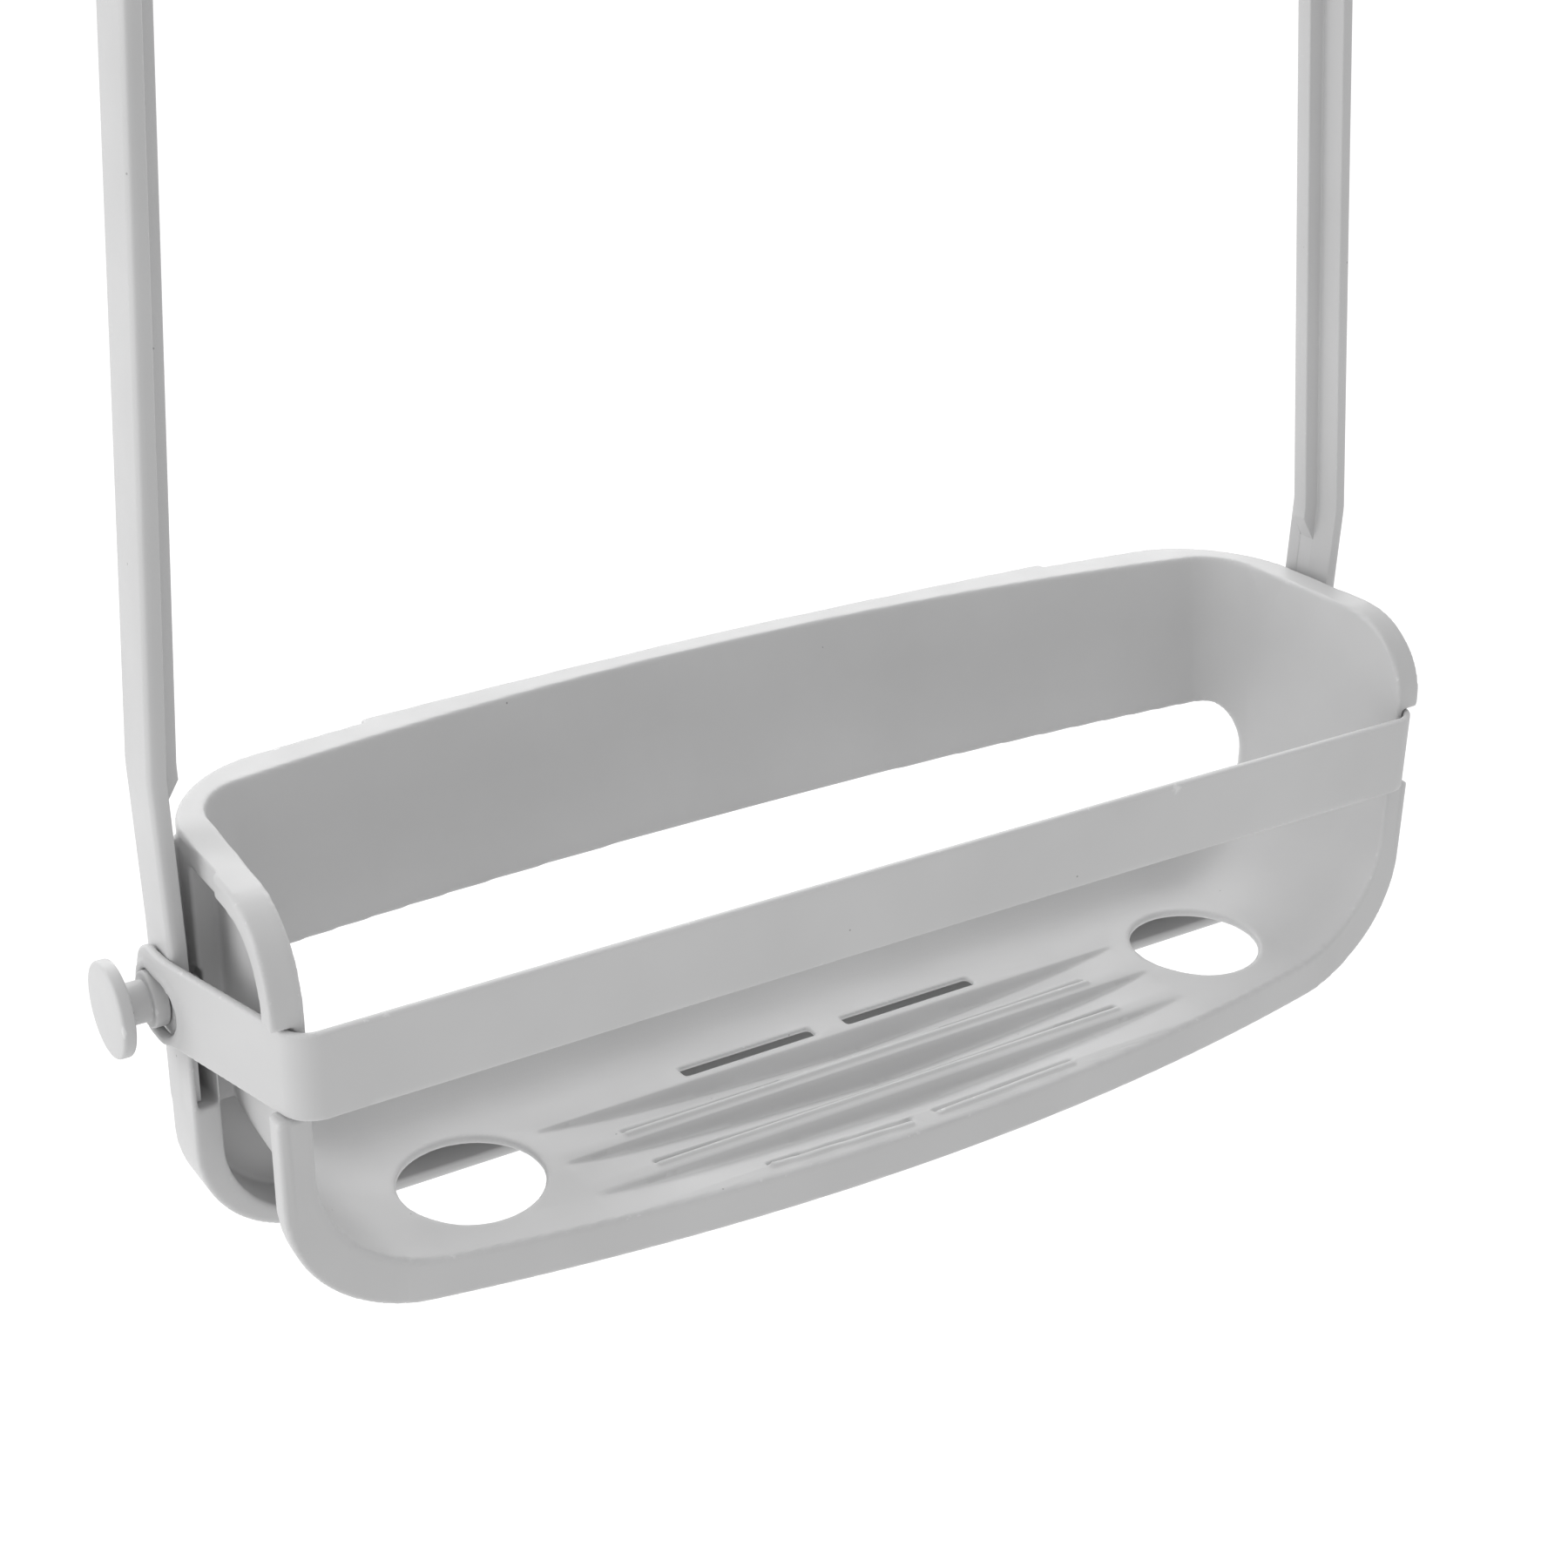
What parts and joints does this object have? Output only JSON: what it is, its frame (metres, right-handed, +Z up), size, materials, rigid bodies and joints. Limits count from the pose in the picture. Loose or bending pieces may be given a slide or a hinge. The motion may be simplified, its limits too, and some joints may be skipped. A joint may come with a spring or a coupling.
{
  "type": "shower caddy",
  "caption": "Hanging shower caddy of matte grey moulded plastic: scoop trays with flexible bands between two ribbon arms that rise to a gripping ring, with hook knobs at the sides",
  "frame": {"origin": "centre of the hanger's ring, which hangs on the shower pipe", "axes": "+Z up, -Y towards the user (the open fronts of the trays), +Y towards the wall, +X to the user's right"},
  "size_m": [0.332, 0.1084, 0.6679],
  "materials": {
    "tray_plastic": "satin-matte light grey moulded polypropylene",
    "arm_plastic": "satin-matte light grey moulded polypropylene",
    "knob_plastic": "satin-matte light grey moulded plastic",
    "band_elastomer": "smooth light grey thermoplastic elastomer",
    "grip_gel": "soft translucent-looking grey gel pad"
  },
  "bodies": {
    "frame": {"right_arm": "arm_plastic", "left_arm": "arm_plastic", "hanger_hook": "arm_plastic", "hook_grip": "grip_gel", "lower_tray": "tray_plastic", "upper_tray": "tray_plastic", "lower_left_knob": "knob_plastic", "lower_right_knob": "knob_plastic", "upper_left_knob": "knob_plastic", "upper_right_knob": "knob_plastic"},
    "lower_band_stretch": {"lower_band": "band_elastomer"},
    "upper_band_stretch": {"upper_band": "band_elastomer"}
  },
  "joints": [
    {"name": "lower_band_pull", "type": "slide", "parent": "frame", "child": "lower_band_stretch", "axis": [0, -1, 0], "range_m": [0, 0.015], "stiffness_N_per_m": 400, "deforming": ["lower_band"]},
    {"name": "upper_band_pull", "type": "slide", "parent": "frame", "child": "upper_band_stretch", "axis": [0, -1, 0], "range_m": [0, 0.015], "stiffness_N_per_m": 400, "deforming": ["upper_band"]}
  ]
}
